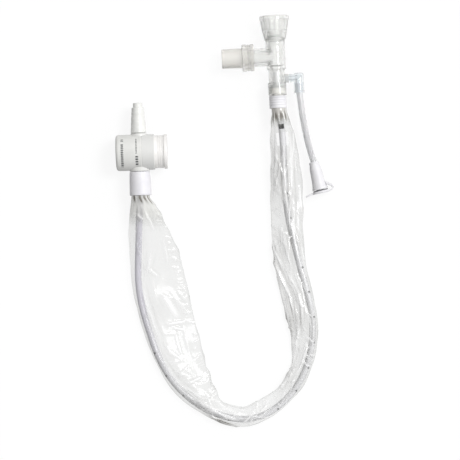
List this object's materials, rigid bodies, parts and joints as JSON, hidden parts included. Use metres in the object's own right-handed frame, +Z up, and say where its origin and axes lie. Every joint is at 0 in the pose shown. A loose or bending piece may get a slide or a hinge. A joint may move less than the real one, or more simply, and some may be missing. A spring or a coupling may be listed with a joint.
{
  "type": "suction catheter",
  "caption": "Closed suction catheter set: thumb valve, catheter in a clear film sleeve laid in a loose loop, and clear ventilator manifold with swivel ports and irrigation line.",
  "frame": {"origin": "centre of the object's box at the table it lies on, without the catheter and the irrigation line", "axes": "+Y along the catheter towards the circuit port, +X across the loop towards the irrigation port, +Z up from the table"},
  "size_m": [0.172, 0.3241, 0.0284],
  "materials": {
    "white_shell": "satin moulded ABS",
    "white_connector": "satin moulded polypropylene",
    "natural_plunger": "moulded polyethylene",
    "clear_silicone": "moulded silicone",
    "spring_steel": "drawn stainless wire",
    "grey_lock_ring": "moulded acetal",
    "white_button": "satin moulded ABS",
    "natural_hub": "moulded polypropylene",
    "pale_lilac_collar": "moulded soft vinyl",
    "clear_film": "blown clear film",
    "clear_vinyl_tube": "extruded clear vinyl",
    "pale_brown_bushing": "moulded",
    "clear_polycarbonate": "polished moulded polycarbonate",
    "frosted_polycarbonate": "fine matt moulded polycarbonate",
    "blue_tinted_clear": "moulded clear vinyl, blue tint",
    "white_port": "moulded polyethylene"
  },
  "bodies": {
    "set": {"valve_body": "white_shell", "vacuum_connector": "white_connector", "return_spring": "spring_steel", "catheter_hub": "natural_hub", "proximal_collar": "pale_lilac_collar", "sleeve": "clear_film", "catheter": "clear_vinyl_tube", "distal_collar": "pale_lilac_collar", "guide_bushing": "pale_brown_bushing", "wiper_seal": "clear_silicone", "manifold_body": "clear_polycarbonate", "circuit_seal": "clear_silicone", "patient_seal": "clear_silicone", "irrigation_elbow": "blue_tinted_clear", "irrigation_tube": "clear_vinyl_tube", "irrigation_hub": "white_port", "check_valve": "clear_silicone"},
    "lock": {"lock_ring": "grey_lock_ring"},
    "thumb": {"thumb_button": "white_button", "valve_plunger": "natural_plunger", "plunger_seal_inner": "clear_silicone", "plunger_seal_outer": "clear_silicone"},
    "circuit_port": {"circuit_swivel": "clear_polycarbonate"},
    "patient_port": {"patient_swivel": "frosted_polycarbonate"},
    "port_cap": {"irrigation_cap": "white_port"}
  },
  "joints": [
    {"name": "lock_turn", "type": "hinge", "parent": "set", "child": "lock", "pos_m": [-0.06735, 0.05415, 0.0142], "axis": [0.9994, 0.0349, 0], "range_deg": [0, 180]},
    {"name": "thumb_press", "type": "slide", "parent": "lock", "child": "thumb", "axis": [-0.9994, -0.0349, 0], "range_m": [0, 0.0052], "stiffness_N_per_m": 600, "springref_m": -0.002, "deforming": ["return_spring"]},
    {"name": "circuit_port_turn", "type": "hinge", "parent": "set", "child": "circuit_port", "pos_m": [0.04017, 0.12976, 0.0117], "axis": [-0.0471, 0.9989, 0], "continuous": true},
    {"name": "patient_port_turn", "type": "hinge", "parent": "set", "child": "patient_port", "pos_m": [0.04017, 0.12976, 0.0117], "axis": [-0.9989, -0.0471, 0], "continuous": true},
    {"name": "port_cap_flip", "type": "hinge", "parent": "set", "child": "port_cap", "pos_m": [0.08578, 0.0273, 0.0081], "axis": [0, 0, 1], "range_deg": [0, 150]}
  ]
}
